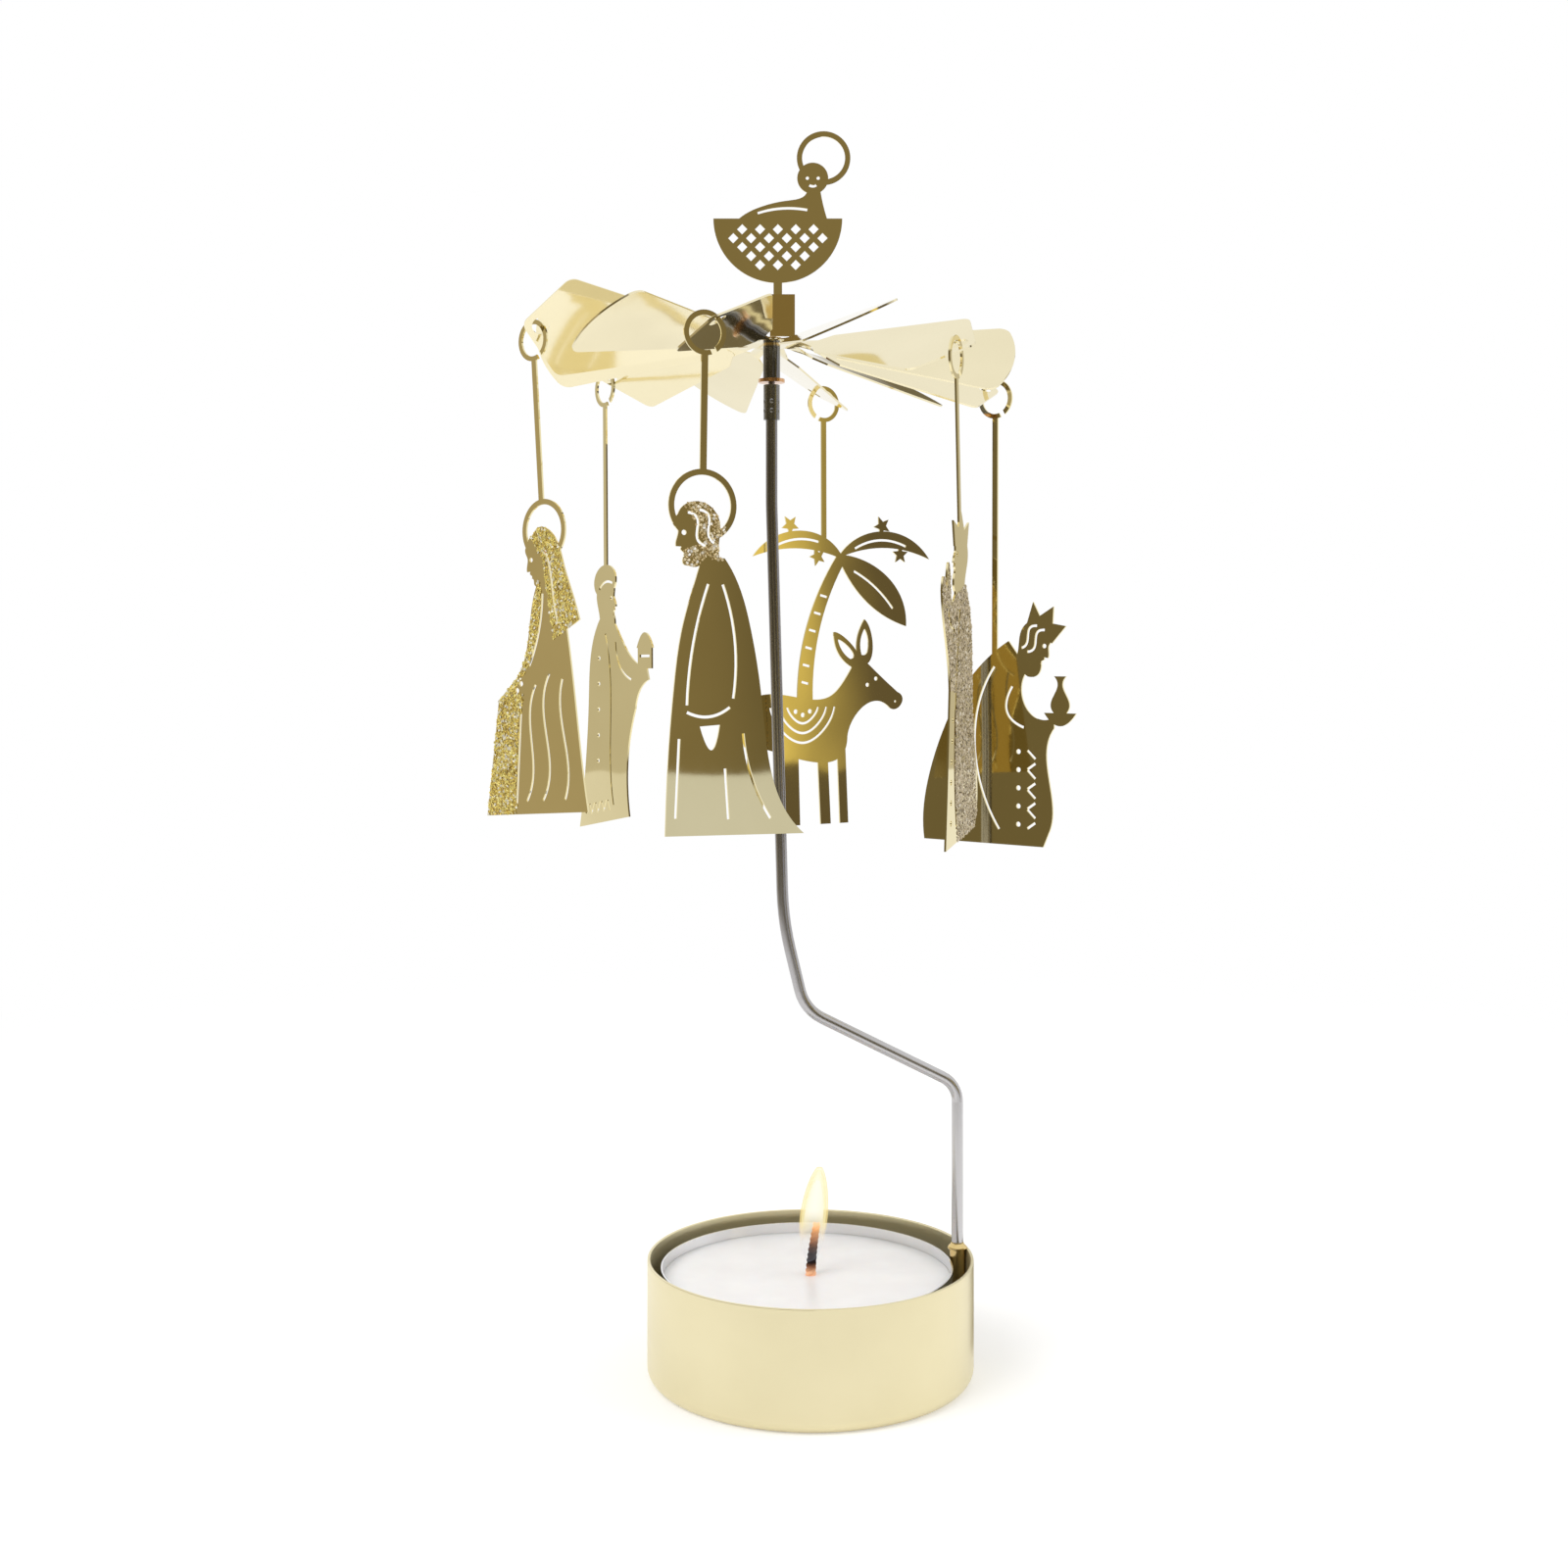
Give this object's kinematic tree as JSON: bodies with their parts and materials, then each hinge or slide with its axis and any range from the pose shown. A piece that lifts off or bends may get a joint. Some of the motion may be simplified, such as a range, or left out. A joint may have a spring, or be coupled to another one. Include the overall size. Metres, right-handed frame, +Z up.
{
  "type": "rotary tealight carousel",
  "caption": "Free-standing tealight cup with a bent wire stem and a pinwheel on a needle that turns in the candle's heat and carries flat hanging nativity figures.",
  "frame": {"origin": "centre of the base cup's underside", "axes": "+Z up, +X towards the side of the cup that carries the stem, +Y away from the viewer"},
  "size_m": [0.0757, 0.0723, 0.1599],
  "materials": {
    "cup_gold": "satin polished",
    "socket_brass": "turned",
    "stem_steel": "drawn wire",
    "dark_steel": "crimped",
    "tealight_aluminium": "bright",
    "wax": "paraffin wax",
    "wick": "charred cotton",
    "propeller_gold": "mirror polished",
    "clip_gold": "mirror polished",
    "figure_gold": "mirror polished"
  },
  "bodies": {
    "stand": {"base_cup": "cup_gold", "rod_socket": "socket_brass", "stem_rod": "stem_steel", "stem_ferrule": "dark_steel", "pivot_needle": "stem_steel"},
    "tealight": {"tealight_cup": "tealight_aluminium", "tealight_wax": "wax", "tealight_wick": "wick", "wick_sustainer": "tealight_aluminium"},
    "rotor": {"propeller": "propeller_gold", "bearing_tube": "dark_steel", "bearing_cup": "socket_brass", "figure_clip": "clip_gold", "top_figure": "figure_gold"},
    "robed_man": {"robed_man_figure": "figure_gold"},
    "veiled_woman": {"veiled_woman_figure": "figure_gold"},
    "gift_king": {"gift_king_figure": "figure_gold"},
    "donkey_palm": {"donkey_palm_figure": "figure_gold"},
    "bowing_king": {"bowing_king_figure": "figure_gold"},
    "raised_arms_king": {"raised_arms_king_figure": "figure_gold"}
  },
  "joints": [
    {"name": "tealight_lift", "type": "slide", "parent": "stand", "child": "tealight", "axis": [0, 0, 1], "range_m": [0, 0.016]},
    {"name": "rotor_spin", "type": "hinge", "parent": "stand", "child": "rotor", "pos_m": [-0.005, 0, 0.1276], "axis": [0, 0, 1], "continuous": true},
    {"name": "robed_man_swing", "type": "hinge", "parent": "rotor", "child": "robed_man", "pos_m": [-0.01101, -0.02954, 0.13078], "axis": [0.4226, -0.9063, 0], "range_deg": [-12, 12]},
    {"name": "veiled_woman_swing", "type": "hinge", "parent": "rotor", "child": "veiled_woman", "pos_m": [-0.03363, -0.00958, 0.13342], "axis": [-0.6561, -0.7547, 0], "range_deg": [-12, 12]},
    {"name": "gift_king_swing", "type": "hinge", "parent": "rotor", "child": "gift_king", "pos_m": [-0.0276, 0.01999, 0.13131], "axis": [-0.8192, -0.5736, 0], "range_deg": [-12, 12]},
    {"name": "donkey_palm_swing", "type": "hinge", "parent": "rotor", "child": "donkey_palm", "pos_m": [0.00229, 0.03027, 0.13026], "axis": [0.515, -0.8572, 0], "range_deg": [-12, 12]},
    {"name": "bowing_king_swing", "type": "hinge", "parent": "rotor", "child": "bowing_king", "pos_m": [0.0248, 0.00828, 0.12816], "axis": [-0.6293, -0.7771, 0], "range_deg": [-12, 12]},
    {"name": "raised_arms_king_swing", "type": "hinge", "parent": "rotor", "child": "raised_arms_king", "pos_m": [0.0175, -0.0199, 0.12947], "axis": [0.9205, -0.3907, 0], "range_deg": [-12, 12]}
  ]
}
